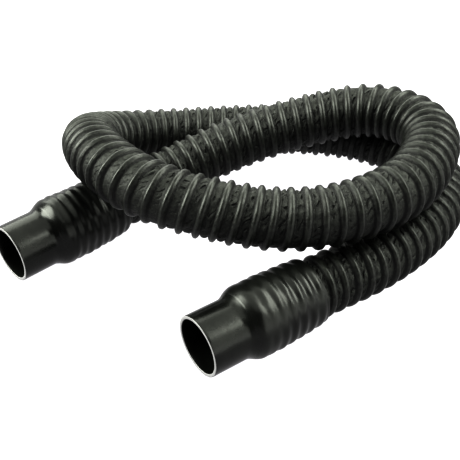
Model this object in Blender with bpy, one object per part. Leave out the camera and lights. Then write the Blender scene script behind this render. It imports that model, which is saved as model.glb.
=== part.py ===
"""Suction hose for pools and spas: a wire-ribbed hose of 38 mm bore with a soft cuff on each end.

The hose lies in one loose loop. The left cuff and the right cuff lie side by side and
both mouths face -X. The wall is built up as on the real hose: a smooth lining, a spring-wire
helix and an outer cover, each its own closed solid. The helix is a plain thin sleeve here,
which holds the space that its turns take up. Units are metres and +Z is up. The origin is
under the middle of the lying hose, on the surface that it lies on.
"""

import math

import bmesh
import bpy
import numpy as np
from mathutils import Matrix, Vector

MM = 0.001

# Driving dimensions.
GAP = 0.3 * MM                      # between two pieces that touch
BORE_RADIUS = 19.0 * MM             # 38 mm bore, the 1.5 inch size
HOSE_RADIUS = 23.5 * MM             # over the ribs
LINING_WALL = 0.8 * MM
COVER_WALL = 1.2 * MM
WIRE_DIAMETER = HOSE_RADIUS - BORE_RADIUS - LINING_WALL - COVER_WALL - 2 * GAP

CUFF_LENGTH = 96.0 * MM             # mouth to lip
MOUTH_LENGTH = 27.5 * MM            # plain stretch at the mouth
SHOULDER_LENGTH = 14.0 * MM         # from the mouth stretch up to the sleeve
SLEEVE_LENGTH = 20.0 * MM           # straight stretch behind the shoulder, before the taper
MOUTH_BORE_RADIUS = 20.2 * MM
MOUTH_RADIUS = 22.7 * MM
SLEEVE_RADIUS = 27.5 * MM
LIP_RADIUS = 25.2 * MM              # at the sleeve's open end
RIM_ROUNDING = 0.8 * MM
LIP_ROUNDING = 0.4 * MM
SOCKET_DEPTH = 41.0 * MM            # mouth to the step that the hose end butts against
WIRE_SETBACK = 6.0 * MM             # from the end of the wall to the end of the wire
CEMENT_WALL = 0.3 * MM
CEMENT_SETBACK = 4.0 * MM           # of the cement band from each end of the socket

# The cuffs: centre of the mouth, and the heading from the mouth into the hose.
LEFT_MOUTH = Vector((-186.0, 47.5, 27.5)) * MM
LEFT_HEADING = math.radians(4.3)
RIGHT_MOUTH = Vector((-128.0, -116.5, 27.5)) * MM
RIGHT_HEADING = math.radians(-3.0)

# The hose's centre line between the two cuffs, in millimetres, from left cuff to right cuff.
ROUTE_MM = (
    (-36, 57.5, 29.5), (13, 51.5, 38.5), (60, 36, 49), (104, 13.5, 59), (140, -17.5, 67),
    (146, -66, 70.5), (110.5, -100, 73), (63.5, -116.5, 74.5), (14.5, -111.5, 73), (-31, -88.5, 73),
    (-68, -55.5, 79), (-96, -15.5, 85), (-102.5, 33.5, 84), (-90, 80.5, 71), (-64, 116.5, 49),
    (-20, 126, 30), (26, 110, 24), (70, 84, 23.5), (110, 54.5, 23.5), (144, 17.5, 23.5),
    (164, -28, 23.5), (157.5, -76.5, 23.5), (121, -109.5, 24.5), (73, -124, 26.5), (23, -126.5, 27),
)

# How finely the solids are divided.
HOSE_SIDES = 12
CUFF_SIDES = 24
SHOULDER_STEPS = 6
RING_STEP = 21.0 * MM               # between the rings of the hose wall
STEPS_PER_SPAN = 24                 # when the route's length is measured
MERGE_DISTANCE = 0.01 * MM
HOSE_CREASE = math.radians(50)      # edges sharper than this stay sharp
CUFF_CREASE = math.radians(40)

# Colour, roughness and metallic value of each material.
COVER_RUBBER = ((0.016, 0.017, 0.015), 0.55, 0.0)
LINING_RUBBER = ((0.02, 0.02, 0.02), 0.5, 0.0)
CUFF_RUBBER = ((0.016, 0.017, 0.015), 0.3, 0.0)
RUBBER_CEMENT = ((0.05, 0.045, 0.035), 0.6, 0.0)
SPRING_WIRE = ((0.55, 0.55, 0.53), 0.3, 1.0)


def clear_scene():
    for thing in list(bpy.data.objects):
        bpy.data.objects.remove(thing, do_unlink=True)


def make_material(name, finish):
    colour, roughness, metallic = finish
    material = bpy.data.materials.new(name)
    material.use_nodes = True
    shader = material.node_tree.nodes["Principled BSDF"]
    shader.inputs["Base Color"].default_value = (*colour, 1.0)
    shader.inputs["Roughness"].default_value = roughness
    shader.inputs["Metallic"].default_value = metallic
    return material


def add_object(name, mesh, material):
    mesh.materials.append(material)
    thing = bpy.data.objects.new(name, mesh)
    bpy.context.scene.collection.objects.link(thing)
    return thing


def heading_vector(heading):
    return Vector((math.cos(heading), math.sin(heading), 0.0))


def spline_slopes(knots, points, first_slope, last_slope):
    """Slopes at the points that give a curve of even curvature with the given end slopes."""
    count = len(points)
    matrix = np.zeros((count, count))
    right_side = np.zeros((count, 3))
    matrix[0, 0] = 1.0
    matrix[-1, -1] = 1.0
    right_side[0] = first_slope
    right_side[-1] = last_slope
    for i in range(1, count - 1):
        before = knots[i] - knots[i - 1]
        after = knots[i + 1] - knots[i]
        matrix[i, i - 1] = after
        matrix[i, i] = 2.0 * (before + after)
        matrix[i, i + 1] = before
        rise_before = (points[i] - points[i - 1]) / before
        rise_after = (points[i + 1] - points[i]) / after
        right_side[i] = 3.0 * (after * rise_before + before * rise_after)
    return np.linalg.solve(matrix, right_side)


def span_points(start, end, start_slope, end_slope, length):
    """Points along one span of the spline, without its last one."""
    points = []
    for step in range(STEPS_PER_SPAN):
        t = step / STEPS_PER_SPAN
        points.append(
            (2 * t**3 - 3 * t**2 + 1) * start
            + (t**3 - 2 * t**2 + t) * length * start_slope
            + (3 * t**2 - 2 * t**3) * end
            + (t**3 - t**2) * length * end_slope
        )
    return points


class Route:
    """The centre line from the left mouth to the right mouth, read by distance."""

    def __init__(self):
        left_way = np.array(heading_vector(LEFT_HEADING))
        right_way = np.array(heading_vector(RIGHT_HEADING))
        left_lip = np.array(LEFT_MOUTH) + CUFF_LENGTH * left_way
        right_lip = np.array(RIGHT_MOUTH) + CUFF_LENGTH * right_way
        points = np.array([left_lip, *(np.array(ROUTE_MM) * MM), right_lip])
        chords = np.linalg.norm(np.diff(points, axis=0), axis=1)
        knots = np.concatenate([[0.0], np.cumsum(chords)])
        slopes = spline_slopes(knots, points, left_way, -right_way)
        line = [np.array(LEFT_MOUTH)]
        for i, chord in enumerate(chords):
            line += span_points(points[i], points[i + 1], slopes[i], slopes[i + 1], chord)
        line += [right_lip, np.array(RIGHT_MOUTH)]
        self.line = np.array(line)
        steps = np.linalg.norm(np.diff(self.line, axis=0), axis=1)
        self.distances = np.concatenate([[0.0], np.cumsum(steps)])
        self.length = self.distances[-1]
        self.ways = np.gradient(self.line, self.distances, axis=0)
        self.ups = self.carried_ups()

    def carried_ups(self):
        """A crosswise direction at each point, carried along the line without twisting."""
        up = Vector((0.0, 0.0, 1.0))
        ups = []
        for way in self.ways:
            way = Vector(way).normalized()
            up = (up - up.dot(way) * way).normalized()
            ups.append(up)
        return np.array(ups)

    def read(self, values, distance):
        return Vector([np.interp(distance, self.distances, values[:, k]) for k in range(3)])

    def frame(self, distance):
        """Centre, sideways direction and upward direction of the ring at a distance."""
        way = self.read(self.ways, distance).normalized()
        side = way.cross(self.read(self.ups, distance)).normalized()
        return self.read(self.line, distance), side, side.cross(way)


def ring_distances(route, setback):
    """Distances of a layer's rings: its two ends, and the same rings on every layer between."""
    free_length = route.length - 2 * CUFF_LENGTH
    count = math.ceil(free_length / RING_STEP)
    shared = [CUFF_LENGTH + free_length * i / count for i in range(count + 1)]
    return [setback, *shared, route.length - setback]


def ring_of_verts(mesh, frame, radius):
    centre, side, up = frame
    verts = []
    for i in range(HOSE_SIDES):
        angle = 2.0 * math.pi * i / HOSE_SIDES
        verts.append(mesh.verts.new(centre + radius * (math.cos(angle) * side + math.sin(angle) * up)))
    return verts


def join_rings(mesh, first, second):
    count = len(first)
    for i in range(count):
        j = (i + 1) % count
        mesh.faces.new((first[i], first[j], second[j], second[i]))


def make_hose_layer(name, route, setback, inner_radius, outer_radius, material):
    """One layer of the hose wall: an open tube that follows the route."""
    frames = [route.frame(distance) for distance in ring_distances(route, setback)]
    mesh = bmesh.new()
    outer = [ring_of_verts(mesh, frame, outer_radius) for frame in frames]
    inner = [ring_of_verts(mesh, frame, inner_radius) for frame in frames]
    loop = outer + inner[::-1]
    for first, second in zip(loop, loop[1:] + loop[:1]):
        join_rings(mesh, first, second)
    bmesh.ops.recalc_face_normals(mesh, faces=mesh.faces)
    data = bpy.data.meshes.new(name)
    mesh.to_mesh(data)
    mesh.free()
    data.shade_smooth()
    data.set_sharp_from_angle(angle=HOSE_CREASE)
    add_object(name, data, material)


def turned_solid(name, outline, mouth, heading, material):
    """A solid turned about a cuff's axis from (distance from the mouth, radius) points."""
    mesh = bmesh.new()
    verts = [mesh.verts.new((distance, 0.0, radius)) for distance, radius in outline]
    edges = [mesh.edges.new((a, b)) for a, b in zip(verts, verts[1:] + verts[:1])]
    bmesh.ops.spin(
        mesh,
        geom=verts + edges,
        cent=(0.0, 0.0, 0.0),
        axis=(1.0, 0.0, 0.0),
        angle=2.0 * math.pi,
        steps=CUFF_SIDES,
        use_merge=True,
    )
    bmesh.ops.remove_doubles(mesh, verts=mesh.verts, dist=MERGE_DISTANCE)
    bmesh.ops.recalc_face_normals(mesh, faces=mesh.faces)
    data = bpy.data.meshes.new(name)
    mesh.to_mesh(data)
    mesh.free()
    data.shade_smooth()
    data.set_sharp_from_angle(angle=CUFF_CREASE)
    thing = add_object(name, data, material)
    thing.matrix_world = Matrix.Translation(mouth) @ Matrix.Rotation(heading, 4, "Z")
    return thing


def shoulder_points():
    """The outside of the cuff from the mouth stretch up to the sleeve, an S-shaped step."""
    points = []
    for i in range(SHOULDER_STEPS + 1):
        share = i / SHOULDER_STEPS
        height = 0.5 - 0.5 * math.cos(math.pi * share)
        distance = MOUTH_LENGTH + SHOULDER_LENGTH * share
        points.append((distance, MOUTH_RADIUS + (SLEEVE_RADIUS - MOUTH_RADIUS) * height))
    return points


def cuff_outline():
    """The cuff's half section, round its outside and back along its bore."""
    socket_radius = HOSE_RADIUS + CEMENT_WALL + 2 * GAP
    taper_start = MOUTH_LENGTH + SHOULDER_LENGTH + SLEEVE_LENGTH
    outside = [
        (0.0, MOUTH_RADIUS - RIM_ROUNDING),
        (RIM_ROUNDING, MOUTH_RADIUS),
        *shoulder_points(),
        (taper_start, SLEEVE_RADIUS),
        (CUFF_LENGTH - LIP_ROUNDING, LIP_RADIUS),
        (CUFF_LENGTH, LIP_RADIUS - LIP_ROUNDING),
    ]
    bore = [
        (CUFF_LENGTH, socket_radius),
        (SOCKET_DEPTH - GAP, socket_radius),
        (SOCKET_DEPTH - GAP, MOUTH_BORE_RADIUS),
        (0.0, MOUTH_BORE_RADIUS),
    ]
    return outside + bore


def cement_outline():
    inner = HOSE_RADIUS + GAP
    start = SOCKET_DEPTH + CEMENT_SETBACK
    end = CUFF_LENGTH - CEMENT_SETBACK
    return [(start, inner + CEMENT_WALL), (end, inner + CEMENT_WALL), (end, inner), (start, inner)]


def make_end(side, mouth, heading):
    """A cuff, and the band of set rubber cement that holds it on the hose."""
    cuff_rubber = make_material(side + "_cuff_rubber", CUFF_RUBBER)
    cement = make_material(side + "_cement", RUBBER_CEMENT)
    turned_solid(side + "_cuff", cuff_outline(), mouth, heading, cuff_rubber)
    turned_solid(side + "_cement_band", cement_outline(), mouth, heading, cement)


def make_hose_wall():
    route = Route()
    wire_inner = BORE_RADIUS + LINING_WALL + GAP
    make_hose_layer(
        "inner_lining", route, SOCKET_DEPTH, BORE_RADIUS, BORE_RADIUS + LINING_WALL,
        make_material("lining_rubber", LINING_RUBBER),
    )
    make_hose_layer(
        "wire_helix", route, SOCKET_DEPTH + WIRE_SETBACK, wire_inner, wire_inner + WIRE_DIAMETER,
        make_material("spring_wire", SPRING_WIRE),
    )
    make_hose_layer(
        "outer_cover", route, SOCKET_DEPTH, HOSE_RADIUS - COVER_WALL, HOSE_RADIUS,
        make_material("cover_rubber", COVER_RUBBER),
    )


def main():
    clear_scene()
    make_hose_wall()
    make_end("left", LEFT_MOUTH, LEFT_HEADING)
    make_end("right", RIGHT_MOUTH, RIGHT_HEADING)


main()
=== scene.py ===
import math

import bpy
import numpy as np
from mathutils import Matrix, Vector, noise


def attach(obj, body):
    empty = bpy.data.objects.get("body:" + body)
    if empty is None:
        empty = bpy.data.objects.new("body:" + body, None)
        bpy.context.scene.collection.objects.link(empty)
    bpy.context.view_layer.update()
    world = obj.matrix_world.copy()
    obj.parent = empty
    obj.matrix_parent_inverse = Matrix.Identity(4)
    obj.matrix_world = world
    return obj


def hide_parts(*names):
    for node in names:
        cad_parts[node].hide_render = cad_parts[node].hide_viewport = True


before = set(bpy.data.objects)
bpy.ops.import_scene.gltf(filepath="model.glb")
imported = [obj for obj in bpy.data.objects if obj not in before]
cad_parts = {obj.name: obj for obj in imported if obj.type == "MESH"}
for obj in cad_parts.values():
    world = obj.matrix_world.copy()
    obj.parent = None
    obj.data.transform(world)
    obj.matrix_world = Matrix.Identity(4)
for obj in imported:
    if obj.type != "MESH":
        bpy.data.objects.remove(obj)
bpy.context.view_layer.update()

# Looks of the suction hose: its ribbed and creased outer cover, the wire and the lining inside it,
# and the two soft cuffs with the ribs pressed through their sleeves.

MM = 0.001
BODY = "root"

# The hose's route, from the left cuff to the right cuff, in millimetres, as in part.py.
ROUTE_MM = (
    (-36, 57.5, 29.5), (13, 51.5, 38.5), (60, 36, 49), (104, 13.5, 59), (140, -17.5, 67),
    (146, -66, 70.5), (110.5, -100, 73), (63.5, -116.5, 74.5), (14.5, -111.5, 73), (-31, -88.5, 73),
    (-68, -55.5, 79), (-96, -15.5, 85), (-102.5, 33.5, 84), (-90, 80.5, 71), (-64, 116.5, 49),
    (-20, 126, 30), (26, 110, 24), (70, 84, 23.5), (110, 54.5, 23.5), (144, 17.5, 23.5),
    (164, -28, 23.5), (157.5, -76.5, 23.5), (121, -109.5, 24.5), (73, -124, 26.5), (23, -126.5, 27),
)
LEFT_MOUTH = np.array((-186.0, 47.5, 27.5)) * MM
LEFT_HEADING = math.radians(4.3)
RIGHT_MOUTH = np.array((-128.0, -116.5, 27.5)) * MM
RIGHT_HEADING = math.radians(-3.0)
STEPS_PER_SPAN = 24

# Sizes of the CAD pieces.
BORE_RADIUS = 19.0 * MM
LINING_RADIUS = 19.8 * MM
HOSE_RADIUS = 23.5 * MM
SOCKET_DEPTH = 41.0 * MM
SOCKET_RADIUS = 24.4 * MM
CUFF_LENGTH = 96.0 * MM
MOUTH_LENGTH = 27.5 * MM
SHOULDER_LENGTH = 14.0 * MM
SLEEVE_LENGTH = 20.0 * MM
MOUTH_BORE_RADIUS = 20.2 * MM
MOUTH_RADIUS = 22.7 * MM
SLEEVE_RADIUS = 27.5 * MM
LIP_RADIUS = 25.2 * MM
RIM_DEPTH = 0.2 * MM                # of the cut end's pale grey, a painted highlight
CEMENT_RADIUS = 23.8 * MM
CEMENT_WALL = 0.3 * MM
CEMENT_SETBACK = 4.0 * MM

# The wire's helix, which gives the cover its ribs.
PITCH = 11.8 * MM
FIRST_CREST = 4.0 * MM              # distance of a crest at the start of its turn
WIRE_RADIUS = 0.95 * MM
WIRE_COIL_RADIUS = 21.05 * MM
WIRE_SETBACK = SOCKET_DEPTH + 6.0 * MM
WIRE_STEPS_PER_TURN = 36
WIRE_SIDES = 8

# The cover's surface over one rib: distance from the crest and radius, slack and stretched.
RIB_OFFSETS = np.array((-3.1, -2.3, -1.1, 0.0, 1.1, 2.3, 3.1)) * MM
RIB_SLACK = np.array((20.0, 21.9, 23.3, 23.4, 23.3, 21.9, 20.0)) * MM
RIB_STRETCHED = np.array((20.3, 21.7, 23.25, 23.5, 23.25, 21.7, 20.3)) * MM
VALLEY_SHARES = np.array((0.21, 0.5, 0.79))
VALLEY_SHAPE = np.array((0.75, 1.0, 0.75))
VALLEY_FLOOR = 20.2 * MM
PUFF_HEIGHT = 1.7 * MM
STRETCHED_RISE = 0.4 * MM
FULL_GAP = 4.5 * MM                 # between two ribs, from which the fabric puffs to its full height
SLACK_LIMIT = 1.03                  # stretch up to which the cover is slack
STRETCHED_LIMIT = 1.22              # stretch from which it is fully stretched
COVER_COLUMNS = 66
WRINKLES_AROUND = 14
WRINKLES_ALONG = 600.0              # radians per metre, which sets their slant

# The cover's inner face, which goes over the wire.
INSIDE_OFFSETS = np.array((-2.1, -1.2, 1.2, 2.1)) * MM
INSIDE_RADII = np.array((19.95, 22.15, 22.15, 19.95)) * MM

# The lining's rows over one turn of the wire, and how far its bore dips in each of them.
LINING_COLUMNS = 36
LINING_OFFSETS = np.array((-1.5, 1.5)) * MM
LINING_SHARES = np.array((0.25, 0.5, 0.75))
LINING_DIPS = np.array((0.0, 0.0, 0.12, 0.2, 0.12)) * MM

# The ripples of the two sleeves over the hose that was pushed together inside them: side, direction
# along the route, pitch, height, depth of the dents, and distance from the mouth to the even ripples.
SLEEVES = (
    ("left", 1.0, 7.4 * MM, 0.75 * MM, 0.8 * MM, 48.0 * MM),
    ("right", -1.0, 8.6 * MM, 0.9 * MM, 0.4 * MM, 62.0 * MM),
)
CUFF_COLUMNS = 96
RIPPLES_START = 36.0 * MM           # from the mouth
RIPPLES_FADE = 2.5 * MM             # before the lip
CEMENT_COLUMNS = 48
CEMENT_RUNOUT = 1.5 * MM

# The camera's place in metres and its angles in degrees.
CAMERA_PLACE = (-0.3378, -0.4169, 0.4304)
CAMERA_HEADING = -38.25
CAMERA_DOWN = 39.4
CAMERA_ROLL = 0.6
CAMERA_LENS = 62.43                 # millimetres, on a sensor 36 mm wide
EXPOSURE = 1.1
GAMMA = 0.54

# The softboxes on a dome round the object: azimuth and elevation in degrees, size in metres, watts.
DOME_RADIUS = 1.2
DOME_CENTRE = Vector((0.0, 0.0, 0.05))
SOFTBOXES = (
    ("softbox_above", 0.0, 82.0, (1.5, 1.5), 8.0),
    ("softbox_behind", 68.0, 32.0, (1.5, 0.9), 11.0),
    ("softbox_left", 145.0, 34.0, (0.9, 1.0), 22.5),
    ("softbox_right", 338.0, 47.0, (1.4, 0.6), 14.5),
    ("softbox_low", 298.0, 20.0, (1.8, 0.9), 7.0),
)
FLOOR_RADIUS = 8.0
FLOOR_SIDES = 48
BACKDROP_HEIGHT = 2.4


# ---------------------------------------------------------------- route

def heading_vector(heading):
    return np.array((math.cos(heading), math.sin(heading), 0.0))


def unit(vectors):
    return vectors / np.linalg.norm(vectors, axis=-1, keepdims=True)


def smooth_step(values, low, high):
    share = np.clip((values - low) / (high - low), 0.0, 1.0)
    return share * share * (3.0 - 2.0 * share)


def spline_slopes(knots, points, first_slope, last_slope):
    """Slopes at the points that give a curve of even curvature with the given end slopes."""
    count = len(points)
    matrix = np.zeros((count, count))
    right_side = np.zeros((count, 3))
    matrix[0, 0] = 1.0
    matrix[-1, -1] = 1.0
    right_side[0] = first_slope
    right_side[-1] = last_slope
    for i in range(1, count - 1):
        before = knots[i] - knots[i - 1]
        after = knots[i + 1] - knots[i]
        matrix[i, i - 1] = after
        matrix[i, i] = 2.0 * (before + after)
        matrix[i, i + 1] = before
        rise_before = (points[i] - points[i - 1]) / before
        rise_after = (points[i + 1] - points[i]) / after
        right_side[i] = 3.0 * (after * rise_before + before * rise_after)
    return np.linalg.solve(matrix, right_side)


def span_points(start, end, start_slope, end_slope, length):
    """Points along one span of the spline, without its last one."""
    points = []
    for step in range(STEPS_PER_SPAN):
        t = step / STEPS_PER_SPAN
        points.append(
            (2 * t**3 - 3 * t**2 + 1) * start
            + (t**3 - 2 * t**2 + t) * length * start_slope
            + (3 * t**2 - 2 * t**3) * end
            + (t**3 - t**2) * length * end_slope
        )
    return points


class Route:
    """The centre line from the left mouth to the right mouth, read by distance."""

    def __init__(self):
        left_way = heading_vector(LEFT_HEADING)
        right_way = heading_vector(RIGHT_HEADING)
        left_lip = LEFT_MOUTH + CUFF_LENGTH * left_way
        right_lip = RIGHT_MOUTH + CUFF_LENGTH * right_way
        points = np.array([left_lip, *(np.array(ROUTE_MM) * MM), right_lip])
        chords = np.linalg.norm(np.diff(points, axis=0), axis=1)
        knots = np.concatenate([[0.0], np.cumsum(chords)])
        slopes = spline_slopes(knots, points, left_way, -right_way)
        line = [LEFT_MOUTH]
        for i, chord in enumerate(chords):
            line += span_points(points[i], points[i + 1], slopes[i], slopes[i + 1], chord)
        line += [right_lip, RIGHT_MOUTH]
        self.line = np.array(line)
        steps = np.linalg.norm(np.diff(self.line, axis=0), axis=1)
        self.distances = np.concatenate([[0.0], np.cumsum(steps)])
        self.length = self.distances[-1]
        self.ways = unit(np.gradient(self.line, self.distances, axis=0))
        self.ups = self.carried_ups()
        self.bends = np.gradient(self.ways, self.distances, axis=0)

    def carried_ups(self):
        """A crosswise direction at each point, carried along the line without twisting."""
        up = np.array((0.0, 0.0, 1.0))
        ups = []
        for way in self.ways:
            up = unit(up - up.dot(way) * way)
            ups.append(up)
        return np.array(ups)

    def read(self, values, distances):
        columns = [np.interp(distances, self.distances, values[:, k]) for k in range(3)]
        return np.stack(columns, axis=-1)

    def outward(self, distances, turns):
        """Directions straight out of the hose, at angles in turns from its side."""
        way = unit(self.read(self.ways, distances))
        side = unit(np.cross(way, self.read(self.ups, distances)))
        up = np.cross(side, way)
        angles = 2.0 * math.pi * turns[..., None]
        return np.cos(angles) * side + np.sin(angles) * up

    def places(self, distances, turns, radii):
        return self.read(self.line, distances) + radii[..., None] * self.outward(distances, turns)

    def stretch(self, distances, turns):
        """How much longer the wall is at this side than the centre line is."""
        towards = np.sum(self.read(self.bends, distances) * self.outward(distances, turns), axis=-1)
        return 1.0 - HOSE_RADIUS * towards


def unbent(distances, turns, radii):
    """Where the points would lie on a straight hose, which the materials are laid out on."""
    angles = 2.0 * math.pi * turns
    return np.stack([distances, radii * np.cos(angles), radii * np.sin(angles)], axis=-1)


# ---------------------------------------------------------------- mesh building

class HelicalSheet:
    """A tube's surface with rows that follow the wire's helix: first over a rib, then the valley."""

    def __init__(self, route, setback, columns, rib_offsets, valley_shares):
        self.route = route
        self.start = setback
        self.end = route.length - setback
        self.columns = columns
        self.rows_per_turn = len(rib_offsets) + len(valley_shares)
        first = math.floor((self.start - FIRST_CREST) / PITCH) - 2
        last = math.ceil((self.end - FIRST_CREST) / PITCH) + 2
        turns = np.arange(columns) / columns
        crests = FIRST_CREST + PITCH * (np.arange(first, last + 1)[:, None] + turns)
        stretch = route.stretch(crests, turns[None, :] + 0.0 * crests)
        widest = 0.47 * PITCH           # so that neighbouring ribs never meet
        rows = [crests + np.clip(offset / stretch, -widest, widest) for offset in rib_offsets]
        left, right = rows[-1][:-1], rows[0][1:]
        rows = [row[:-1] for row in rows]
        rows += [left + share * (right - left) for share in valley_shares]
        self.distances = np.stack(rows, axis=1).reshape(-1, columns)
        self.turns = np.broadcast_to(turns, self.distances.shape)
        self.stretch = route.stretch(self.distances, self.turns)
        self.gaps = np.repeat((right - left) * stretch[:-1], self.rows_per_turn, axis=0)

    def by_row(self, values):
        """One value for each row of a turn, repeated over the whole sheet."""
        turns = len(self.distances) // self.rows_per_turn
        return np.tile(values, turns)[:, None] + 0.0 * self.distances

    def faces(self):
        """Point numbers, round each face. The first two rings of points are the square-cut ends."""
        rows, columns = self.distances.shape
        own = 2 * columns + np.arange(rows * columns).reshape(rows, columns)
        ring = np.arange(columns)
        index = np.where(self.distances <= self.start, ring, own)
        index = np.where(self.distances >= self.end, columns + ring, index)
        seam = self.rows_per_turn
        after = np.concatenate([index[:, 1:], np.roll(index[:, :1], -seam, axis=0)], axis=1)
        corners = np.stack([index[:-1], index[1:], after[1:], after[:-1]], axis=-1)[:-seam]
        faces = []
        for corner in corners.reshape(-1, 4).tolist():
            face = [point for i, point in enumerate(corner) if point != corner[i - 1]]
            if len(face) > 2:
                faces.append(face)
        return faces

    def with_ends(self, values, at_ends):
        ring = np.full(self.columns, at_ends)
        return np.concatenate([ring, ring, values.reshape(-1)])

    def all_distances(self):
        ring = np.ones(self.columns)
        return np.concatenate([self.start * ring, self.end * ring, self.distances.reshape(-1)])

    def all_turns(self):
        ring = np.arange(self.columns) / self.columns
        return np.concatenate([ring, ring, self.turns.reshape(-1)])


def end_faces(outside, inside, first_inside):
    """The flat faces that join the outside to the inside at the two square-cut ends."""
    many = outside.columns // inside.columns
    faces = []
    for end in range(2):
        outer = end * outside.columns
        inner = first_inside + end * inside.columns
        for i in range(inside.columns):
            around = [outer + (many * i + k) % outside.columns for k in range(many + 1)]
            face = around + [inner + (i + 1) % inside.columns, inner + i]
            faces.append(face[::-1] if end else face)
    return faces


def make_mesh(name, points, faces, layout, marks=None):
    """A smooth mesh from its used points, with where each lies on a straight hose."""
    used = np.unique(np.concatenate([np.array(face) for face in faces]))
    renumber = np.zeros(len(points), dtype=int)
    renumber[used] = np.arange(len(used))
    mesh = bpy.data.meshes.new(name)
    mesh.from_pydata(points[used].tolist(), [], [renumber[face].tolist() for face in faces])
    mesh.attributes.new("unbent", "FLOAT_VECTOR", "POINT").data.foreach_set(
        "vector", layout[used].reshape(-1).astype(np.float32)
    )
    if marks is not None:
        mesh.attributes.new("mark", "FLOAT", "POINT").data.foreach_set(
            "value", marks[used].astype(np.float32)
        )
    mesh.shade_smooth()
    return mesh


def make_wall(name, outside, outer_radii, inside, inner_radii, marks):
    """A closed wall between two helical sheets. Radii hold the sheet's and its ends' radius."""
    points, layouts = [], []
    for sheet, (radii, end_radius) in ((outside, outer_radii), (inside, inner_radii)):
        place = (sheet.all_distances(), sheet.all_turns(), sheet.with_ends(radii, end_radius))
        points.append(sheet.route.places(*place))
        layouts.append(unbent(*place))
    first_inside = len(points[0])
    faces = outside.faces()
    faces += [[first_inside + point for point in face[::-1]] for face in inside.faces()]
    faces += end_faces(outside, inside, first_inside)
    all_marks = np.concatenate([marks, np.zeros(len(points[1]))])
    return make_mesh(name, np.concatenate(points), faces, np.concatenate(layouts), all_marks)


def make_turned(name, distances, radii, columns, route, marks=None):
    """A closed ring shape from rings of points round the hose; the last ring joins the first."""
    rings = len(distances)
    turns = np.broadcast_to(np.arange(columns) / columns, (rings, columns))
    place = (distances.reshape(-1), turns.reshape(-1), radii.reshape(-1))
    index = np.arange(rings * columns).reshape(rings, columns)
    after = np.roll(index, -1, axis=1)
    next_index, next_after = np.roll(index, -1, axis=0), np.roll(after, -1, axis=0)
    faces = np.stack([index, next_index, next_after, after], axis=-1).reshape(-1, 4)
    if distances[1, 0] < distances[0, 0]:
        faces = faces[:, ::-1]
    return make_mesh(name, route.places(*place), list(faces), unbent(*place), marks)


def add_piece(name, mesh, slot, materials, *nodes):
    for material in materials:
        mesh.materials.append(material)
    piece = bpy.data.objects.new(name, mesh)
    bpy.context.scene.collection.objects.link(piece)
    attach(piece, BODY)
    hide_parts(*nodes)
    return piece


def noise_at(places, size, seed):
    """Smooth noise of about -1 to 1 at each place, with lumps of the given size."""
    shift = Vector((seed, 2.3 * seed, 0.7 * seed))
    values = [noise.noise(Vector(place) / size + shift) for place in places.reshape(-1, 3)]
    return np.array(values).reshape(places.shape[:-1])


# ---------------------------------------------------------------- materials

SOCKETS = {"roughness": "Roughness", "metallic": "Metallic", "specular": "Specular IOR Level",
           "glow": "Emission Strength"}


class Nodes:
    """Short ways to add the shader nodes that the materials share."""

    def __init__(self, name):
        self.material = bpy.data.materials.new(name)
        self.material.use_nodes = True
        self.tree = self.material.node_tree
        self.shader = self.tree.nodes["Principled BSDF"]

    def add(self, kind, inputs=(), **settings):
        node = self.tree.nodes.new(kind)
        for name, value in settings.items():
            setattr(node, name, value)
        for key, value in dict(inputs).items():
            if isinstance(value, bpy.types.NodeSocket):
                self.tree.links.new(value, node.inputs[key])
            else:
                node.inputs[key].default_value = value
        return node

    def attribute(self, name):
        return self.add("ShaderNodeAttribute", attribute_name=name)

    def noise(self, vector, scale, detail=4.0, rough=0.55):
        inputs = {"Vector": vector, "Scale": scale, "Detail": detail, "Roughness": rough}
        return self.add("ShaderNodeTexNoise", inputs).outputs["Fac"]

    def math(self, operation, first, second=0.0):
        return self.add("ShaderNodeMath", {0: first, 1: second}, operation=operation).outputs[0]

    def spread(self, value, low, high, to_low, to_high):
        inputs = {"Value": value, "From Min": low, "From Max": high, "To Min": to_low, "To Max": to_high}
        return self.add("ShaderNodeMapRange", inputs).outputs["Result"]

    def mix(self, share, first, second):
        inputs = {0: share, 6: (*first, 1.0) if isinstance(first, tuple) else first,
                  7: (*second, 1.0) if isinstance(second, tuple) else second}
        return self.add("ShaderNodeMix", inputs, data_type="RGBA").outputs[2]

    def bump(self, height, distance, strength=1.0, normal=None):
        inputs = {"Height": height, "Distance": distance, "Strength": strength}
        if normal is not None:
            inputs["Normal"] = normal
        return self.add("ShaderNodeBump", inputs).outputs["Normal"]

    def finish(self, links=(), **values):
        for name, socket in dict(links).items():
            self.tree.links.new(socket, self.shader.inputs[name])
        for name, value in values.items():
            self.shader.inputs[SOCKETS[name]].default_value = value
        return self.material


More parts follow.
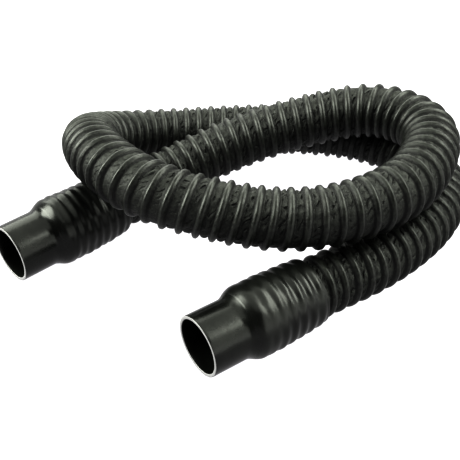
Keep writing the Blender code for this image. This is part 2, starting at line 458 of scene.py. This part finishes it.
def cover_material():
    """Black rubberised fabric: fine grain, faint dust, slanting creases in the valleys darkened with
    painted shade, and painted shade at the rib feet.
    """
    n = Nodes("cover_rubber")
    unbent_place = n.attribute("unbent").outputs["Vector"]
    valley = n.attribute("mark").outputs["Fac"]
    split = n.add("ShaderNodeSeparateXYZ", {0: unbent_place})
    angle = n.math("ARCTAN2", split.outputs["Z"], split.outputs["Y"])
    across = n.add("ShaderNodeCombineXYZ", {"Y": split.outputs["Y"], "Z": split.outputs["Z"]}).outputs[0]
    radius = n.add("ShaderNodeVectorMath", {0: across}, operation="LENGTH").outputs["Value"]
    along = n.math("MULTIPLY", split.outputs["X"], 0.8 * WRINKLES_ALONG)
    warp = n.math("MULTIPLY", n.noise(unbent_place, 70.0, 1.0), 8.0)
    phase = n.math("ADD", n.math("SUBTRACT", n.math("MULTIPLY", angle, 9.0), along), warp)
    ridge = n.math("ABSOLUTE", n.math("SINE", phase))
    patches = n.spread(n.noise(unbent_place, 130.0, 1.0), 0.46, 0.54, 0.0, 1.0)
    crease = n.math("MULTIPLY", n.spread(ridge, 0.05, 0.7, 1.0, 0.0), patches)
    crease = n.math("MULTIPLY", crease, n.spread(valley, 0.3, 0.9, 0.0, 1.0))
    grain = n.noise(unbent_place, 1500.0, 3.0, 0.65)
    mottle = n.noise(unbent_place, 380.0, 4.0, 0.6)
    in_valley = n.spread(radius, 21.8 * MM, 23.0 * MM, 1.0, 0.2)
    normal = n.bump(n.math("SUBTRACT", 1.0, crease), 1.5 * MM, 1.0)
    normal = n.bump(n.math("MULTIPLY", mottle, in_valley), 0.9 * MM, 0.8, normal)
    normal = n.bump(n.math("MULTIPLY", grain, in_valley), 0.2 * MM, 0.5, normal)
    dust = n.spread(mottle, 0.35, 0.7, 0.0, 1.0)
    colour = n.mix(dust, (0.006, 0.0064, 0.0055), (0.03, 0.0321, 0.0279))
    # Painted shade: the colour goes near black along the creases, where shade falls in them.
    colour = n.mix(n.math("MULTIPLY", crease, 0.9), colour, (0.002, 0.002, 0.002))
    # Painted shade: the colour goes near black at the feet beside each rib, where shade falls.
    near_rib = n.spread(valley, 0.05, 0.4, 1.0, 0.0)
    painted_foot_shade = n.math("MULTIPLY", n.spread(radius, 20.8 * MM, 22.5 * MM, 1.0, 0.0), near_rib)
    colour = n.mix(painted_foot_shade, colour, (0.0015, 0.0016, 0.0014))
    roughness = n.math("ADD", n.spread(grain, 0.3, 0.7, 0.27, 0.37), n.math("MULTIPLY", in_valley, 0.25))
    return n.finish({"Base Color": colour, "Roughness": roughness, "Normal": normal}, specular=0.5)


def cuff_material():
    """Glossy black moulded rubber, a little uneven and rubbed, with fine folds over the sleeve."""
    n = Nodes("cuff_rubber")
    unbent_place = n.attribute("unbent").outputs["Vector"]
    cloud = n.noise(unbent_place, 45.0, 3.0)
    fine = n.noise(unbent_place, 900.0, 3.0)
    folds = n.noise(n.add("ShaderNodeVectorMath", {0: unbent_place, 1: (1.0, 0.35, 0.35)},
                          operation="MULTIPLY").outputs[0], 90.0, 2.0)
    rubbed = n.spread(cloud, 0.4, 0.65, 0.0, 1.0)
    colour = n.mix(rubbed, (0.007, 0.0075, 0.0066), (0.013, 0.0139, 0.0123))
    sleeve = n.attribute("mark").outputs["Fac"]
    roughness = n.math("ADD", n.spread(cloud, 0.35, 0.7, 0.22, 0.30), n.math("MULTIPLY", sleeve, 0.08))
    normal = n.bump(cloud, 0.8 * MM, 0.3)
    normal = n.bump(n.math("MULTIPLY", folds, sleeve), 1.5 * MM, 0.6, normal)
    normal = n.bump(fine, 0.05 * MM, 0.3, normal)
    return n.finish({"Base Color": colour, "Roughness": roughness, "Normal": normal}, specular=0.5)


def cut_rubber_material():
    """The cuff's cut end: pale grey as a painted highlight of the light it catches, more matt, with fine
    marks of the blade.
    """
    n = Nodes("cut_end_painted_highlight")
    unbent_place = n.attribute("unbent").outputs["Vector"]
    marks = n.noise(unbent_place, 700.0, 4.0)
    # The pale grey is a painted highlight on the cut face; the blade marks vary it a little.
    colour = n.mix(marks, (0.2, 0.196, 0.201), (0.3, 0.295, 0.301))
    return n.finish({"Base Color": colour, "Normal": n.bump(marks, 0.1 * MM, 0.5)}, roughness=0.4)


def lining_material():
    """Smooth black rubber, a little cloudy."""
    n = Nodes("lining_rubber")
    unbent_place = n.attribute("unbent").outputs["Vector"]
    cloud = n.noise(unbent_place, 120.0, 3.0)
    colour = n.mix(cloud, (0.01, 0.0105, 0.0095), (0.022, 0.023, 0.021))
    roughness = n.spread(cloud, 0.3, 0.7, 0.35, 0.55)
    normal = n.bump(cloud, 0.2 * MM, 0.4)
    return n.finish({"Base Color": colour, "Roughness": roughness, "Normal": normal})


def wire_material():
    """Drawn spring wire with fine streaks along it."""
    n = Nodes("spring_wire")
    unbent_place = n.attribute("unbent").outputs["Vector"]
    streaks = n.noise(unbent_place, 1300.0, 4.0)
    colour = n.mix(streaks, (0.42, 0.42, 0.4), (0.6, 0.6, 0.58))
    roughness = n.spread(streaks, 0.3, 0.7, 0.22, 0.42)
    return n.finish({"Base Color": colour, "Roughness": roughness}, metallic=1.0)


def cement_material():
    """Set rubber cement, uneven and dull."""
    n = Nodes("rubber_cement")
    unbent_place = n.attribute("unbent").outputs["Vector"]
    lumps = n.noise(unbent_place, 260.0, 4.0)
    colour = n.mix(lumps, (0.03, 0.026, 0.02), (0.075, 0.066, 0.05))
    roughness = n.spread(lumps, 0.3, 0.7, 0.45, 0.75)
    normal = n.bump(lumps, 0.3 * MM, 0.6)
    return n.finish({"Base Color": colour, "Roughness": roughness, "Normal": normal})


def floor_material():
    """A floor and backdrop that glow evenly, so that they look plain and pale from every side."""
    n = Nodes("pale_floor")
    place = n.add("ShaderNodeNewGeometry").outputs["Position"]
    cloud = n.noise(place, 1.5, 2.0)
    colour = n.mix(cloud, (0.028, 0.0277, 0.0283), (0.032, 0.0317, 0.0323))
    glow = n.mix(cloud, (0.93, 0.92, 0.94), (0.99, 0.98, 1.0))
    return n.finish({"Base Color": colour, "Emission Color": glow}, roughness=0.9, glow=0.52)


# ---------------------------------------------------------------- pieces

def cover_outside(sheet):
    """The cover's outer radius: ribs over the wire, and fabric that puffs or stretches between."""
    rib = np.concatenate([np.ones(len(RIB_OFFSETS)), np.zeros(len(VALLEY_SHARES))])
    puff = sheet.by_row(np.concatenate([np.zeros(len(RIB_OFFSETS)), VALLEY_SHAPE]))
    slack_row = np.concatenate([RIB_SLACK, np.full(len(VALLEY_SHARES), VALLEY_FLOOR)])
    hollow = VALLEY_FLOOR + STRETCHED_RISE * (2.0 * VALLEY_SHARES - 1.0) ** 2
    stretched_row = np.concatenate([RIB_STRETCHED, hollow])

    places = unbent(sheet.distances, sheet.turns, np.full(sheet.turns.shape, VALLEY_FLOOR))
    warp = noise_at(places, 16.0 * MM, 3.0)
    strength = 0.42 + 0.5 * noise_at(places, 11.0 * MM, 9.0) + 0.4 * noise_at(places, 45.0 * MM, 6.0)
    angles = 2.0 * math.pi * sheet.turns
    wave = np.sin(WRINKLES_AROUND * angles - WRINKLES_ALONG * sheet.distances + 4.0 * warp)
    room = np.clip(sheet.gaps / FULL_GAP, 0.0, 1.0)
    puffed = PUFF_HEIGHT * puff * room * (strength + 0.45 * wave)

    stretched = smooth_step(sheet.stretch, SLACK_LIMIT, STRETCHED_LIMIT)
    slack_radii = sheet.by_row(slack_row) + np.maximum(puffed, -0.1 * MM)
    radii = slack_radii * (1.0 - stretched) + sheet.by_row(stretched_row) * stretched
    valley_mark = sheet.by_row(1.0 - rib) * (1.0 - 0.55 * stretched)
    return radii, valley_mark


def make_cover(route):
    outside = HelicalSheet(route, SOCKET_DEPTH, COVER_COLUMNS, RIB_OFFSETS, VALLEY_SHARES)
    inside = HelicalSheet(route, SOCKET_DEPTH, COVER_COLUMNS // 2, INSIDE_OFFSETS, ())
    radii, valley_mark = cover_outside(outside)
    marks = outside.with_ends(valley_mark, 0.0)
    inner_radii = inside.by_row(INSIDE_RADII)
    mesh = make_wall(
        "hose_cover", outside, (radii, VALLEY_FLOOR), inside, (inner_radii, INSIDE_RADII[0]), marks
    )
    return add_piece("hose_cover", mesh, "cover_rubber", [cover_material()], "outer_cover")


def make_lining(route):
    """The smooth tube inside, which dips a little between the wire's turns."""
    outside = HelicalSheet(route, SOCKET_DEPTH, LINING_COLUMNS, LINING_OFFSETS, ())
    inside = HelicalSheet(route, SOCKET_DEPTH, LINING_COLUMNS, LINING_OFFSETS, LINING_SHARES)
    inner_radii = BORE_RADIUS + LINING_DIPS.max() - inside.by_row(LINING_DIPS)
    outer_radii = outside.by_row(np.full(len(LINING_OFFSETS), LINING_RADIUS))
    marks = outside.with_ends(0.0 * outer_radii, 0.0)
    mesh = make_wall(
        "hose_lining", outside, (outer_radii, LINING_RADIUS), inside, (inner_radii, BORE_RADIUS), marks
    )
    add_piece("hose_lining", mesh, "lining_rubber", [lining_material()], "inner_lining")


def make_wire(route):
    """The spring wire, one long helix from cuff to cuff."""
    start = (WIRE_SETBACK - FIRST_CREST) / PITCH
    end = (route.length - WIRE_SETBACK - FIRST_CREST) / PITCH
    turned = np.linspace(start, end, int((end - start) * WIRE_STEPS_PER_TURN))
    distances = FIRST_CREST + PITCH * turned
    turns = turned % 1.0
    coil = np.full(len(turned), WIRE_COIL_RADIUS)
    centres = route.places(distances, turns, coil)
    out = route.outward(distances, turns)
    ways = unit(np.gradient(centres, axis=0))
    out = unit(out - np.sum(out * ways, axis=1, keepdims=True) * ways)
    beside = np.cross(ways, out)
    angles = 2.0 * math.pi * np.arange(WIRE_SIDES)[None, :, None] / WIRE_SIDES
    ring = np.cos(angles) * out[:, None] + np.sin(angles) * beside[:, None]
    points = (centres[:, None] + WIRE_RADIUS * ring).reshape(-1, 3)
    layout = np.repeat(unbent(distances, turned, coil), WIRE_SIDES, axis=0)
    index = np.arange(len(points)).reshape(-1, WIRE_SIDES)
    after = np.roll(index, -1, axis=1)
    quads = np.stack([index[:-1], after[:-1], after[1:], index[1:]], axis=-1).reshape(-1, 4)
    faces = list(quads) + [index[0][::-1], index[-1]]
    mesh = make_mesh("spring_wire", points, faces, layout)
    add_piece("spring_wire", mesh, "spring_wire", [wire_material()], "wire_helix")


def arc(centre, radius, start, end, steps):
    """Points (distance, radius) along an arc, with its angles in degrees."""
    angles = np.radians(np.linspace(start, end, steps))
    return [(centre[0] + radius * math.cos(a), centre[1] + radius * math.sin(a)) for a in angles]


def cuff_outline():
    """The cuff's half section in millimetres, round its outside and back along its bore."""
    mouth, sleeve, lip = MOUTH_RADIUS / MM, SLEEVE_RADIUS / MM, LIP_RADIUS / MM
    bore, socket = MOUTH_BORE_RADIUS / MM, SOCKET_RADIUS / MM
    length, step = CUFF_LENGTH / MM, SOCKET_DEPTH / MM
    shoulder_start, shoulder = MOUTH_LENGTH / MM, SHOULDER_LENGTH / MM
    points = arc((0.5, mouth - 0.5), 0.5, 180, 90, 4)
    points += [(x, mouth) for x in np.arange(2.0, shoulder_start, 1.6)]
    for share in np.linspace(0.0, 1.0, 15):
        height = 0.5 - 0.5 * math.cos(math.pi * share)
        points.append((shoulder_start + shoulder * share, mouth + (sleeve - mouth) * height))
    taper_start = shoulder_start + shoulder + SLEEVE_LENGTH / MM
    for x in np.arange(shoulder_start + shoulder + 0.8, length - 1.0, 0.8):
        taper = max(0.0, (x - taper_start) / (length - taper_start))
        points.append((x, sleeve + (lip - sleeve) * taper))
    points += [(length - 0.25, lip - 0.02), (length, lip - 0.25), (length, socket + 0.15)]
    points += [(length - 0.2, socket), (length - 8.0, socket), (step, socket), (step, bore)]
    points += [(x, bore) for x in np.linspace(step - 6.0, 5.0, 5)]
    points += arc((0.4, bore + 0.4), 0.4, -90, -180, 3)
    return np.array(points) * MM


def make_cuff(route, side, sign, pitch, height, dent_depth, even_depth):
    """A moulded cuff whose sleeve shows the ribs that it was pushed over."""
    outline = cuff_outline()
    depth = np.repeat(outline[:, :1], CUFF_COLUMNS, axis=1)
    turns = np.arange(CUFF_COLUMNS) / CUFF_COLUMNS
    distances = depth if sign > 0 else route.length - depth
    ripple = 0.5 + 0.5 * np.cos(2.0 * math.pi * (distances / pitch - turns))
    outer = (outline[:, 1] > SOCKET_RADIUS + 0.4 * MM)[:, None]
    grown = smooth_step(depth, RIPPLES_START, even_depth)
    grown = grown * (1.0 - smooth_step(depth, CUFF_LENGTH - RIPPLES_FADE, CUFF_LENGTH))
    places = unbent(depth, turns[None, :] + 0.0 * depth, np.full(depth.shape, SLEEVE_RADIUS))
    uneven = 1.0 + 0.6 * noise_at(places, 24.0 * MM, 5.0 + sign)
    small_dents = noise_at(places, 12.0 * MM, 15.0 + sign)
    large_dents = noise_at(places, 27.0 * MM, 11.0 + sign)
    dents = dent_depth * (small_dents + large_dents)
    radii = outline[:, 1:] + outer * grown * (uneven * height * (ripple - 0.5) + dents)
    creased = (outer * smooth_step(depth, 26.0 * MM, 48.0 * MM)).reshape(-1)
    mesh = make_turned(side + "_cuff_shell", distances, radii, CUFF_COLUMNS, route, creased)
    on_rim = np.minimum(outline[:, 0], np.roll(outline[:, 0], -1)) < RIM_DEPTH
    mesh.polygons.foreach_set("material_index", np.repeat(on_rim, CUFF_COLUMNS).astype(np.int32))
    materials = [cuff_material(), cut_rubber_material()]
    return add_piece(side + "_cuff_shell", mesh, "cuff_rubber", materials, side + "_cuff")


def make_cement(route, side, sign):
    """The band of cement, which ran out unevenly at its two edges."""
    inner, outer = CEMENT_RADIUS, CEMENT_RADIUS + CEMENT_WALL
    start, end = SOCKET_DEPTH + CEMENT_SETBACK, CUFF_LENGTH - CEMENT_SETBACK
    shares = np.concatenate([np.linspace(0.0, 1.0, 12), np.linspace(1.0, 0.0, 12)])
    radii = np.concatenate([np.full(12, outer), np.full(12, inner)])
    radii = np.repeat(radii[:, None], CEMENT_COLUMNS, axis=1)
    turns = np.arange(CEMENT_COLUMNS) / CEMENT_COLUMNS
    circle = unbent(np.zeros(CEMENT_COLUMNS), turns, np.full(CEMENT_COLUMNS, outer))
    start_edge = start + CEMENT_RUNOUT * (1.0 + noise_at(circle, 9.0 * MM, 20.0 + sign))
    end_edge = end - CEMENT_RUNOUT * (1.0 + noise_at(circle, 9.0 * MM, 30.0 + sign))
    depth = start_edge + shares[:, None] * (end_edge - start_edge)
    distances = depth if sign > 0 else route.length - depth
    mesh = make_turned(side + "_cement", distances, radii, CEMENT_COLUMNS, route)
    add_piece(side + "_cement", mesh, "rubber_cement", [cement_material()], side + "_cement_band")


# ---------------------------------------------------------------- stage

def add_camera():
    camera = bpy.data.cameras.new("camera")
    camera.lens = CAMERA_LENS
    camera.sensor_width = 36.0
    thing = bpy.data.objects.new("camera", camera)
    turn = Matrix.Rotation(math.radians(CAMERA_HEADING), 4, "Z")
    tilt = Matrix.Rotation(math.radians(90.0 - CAMERA_DOWN), 4, "X")
    roll = Matrix.Rotation(math.radians(CAMERA_ROLL), 4, "Z")
    thing.matrix_world = Matrix.Translation(CAMERA_PLACE) @ turn @ tilt @ roll
    bpy.context.scene.collection.objects.link(thing)
    bpy.context.scene.camera = thing


def add_softbox(name, azimuth, elevation, size, power):
    """A soft light on the dome, turned to the dome's centre."""
    light = bpy.data.lights.new(name, "AREA")
    light.shape = "RECTANGLE"
    light.size, light.size_y = size
    light.energy = power
    light.color = (0.97, 1.0, 0.92)
    turn, rise = math.radians(azimuth), math.radians(elevation)
    outward = Vector((math.cos(rise) * math.cos(turn), math.cos(rise) * math.sin(turn), math.sin(rise)))
    thing = bpy.data.objects.new(name, light)
    thing.location = DOME_CENTRE + DOME_RADIUS * outward
    thing.rotation_euler = (-outward).to_track_quat("-Z", "Y").to_euler()
    bpy.context.scene.collection.objects.link(thing)


def add_floor():
    """A round floor with a low wall as its backdrop."""
    sides = FLOOR_SIDES
    angles = 2.0 * math.pi * np.arange(sides) / sides
    ring = FLOOR_RADIUS * np.stack([np.cos(angles), np.sin(angles)], axis=1)
    low, high = (np.column_stack([ring, np.full(sides, height)]) for height in (0.0, BACKDROP_HEIGHT))
    walls = [(i, sides + i, sides + (i + 1) % sides, (i + 1) % sides) for i in range(sides)]
    mesh = bpy.data.meshes.new("floor")
    mesh.from_pydata(np.concatenate([low, high]).tolist(), [], [tuple(range(sides))] + walls)
    mesh.materials.append(floor_material())
    floor = bpy.data.objects.new("floor", mesh)
    bpy.context.scene.collection.objects.link(floor)


def add_light():
    """The softboxes, a dim studio round them, and how bright the picture shows them."""
    for name, azimuth, elevation, size, power in SOFTBOXES:
        add_softbox(name, azimuth, elevation, size, power)
    world = bpy.data.worlds.new("studio")
    world.use_nodes = True
    world.node_tree.nodes["Background"].inputs["Color"].default_value = (0.9, 0.92, 0.95, 1.0)
    world.node_tree.nodes["Background"].inputs["Strength"].default_value = 0.05
    bpy.context.scene.world = world
    view = bpy.context.scene.view_settings
    view.view_transform = "Standard"
    view.exposure = EXPOSURE
    view.gamma = GAMMA


def main():
    add_camera()
    route = Route()
    cover = make_cover(route)
    make_lining(route)
    make_wire(route)
    cuffs = [make_cuff(route, *sleeve) for sleeve in SLEEVES]
    for side, sign, *_ in SLEEVES:
        make_cement(route, side, sign)
    add_floor()
    add_light()


main()
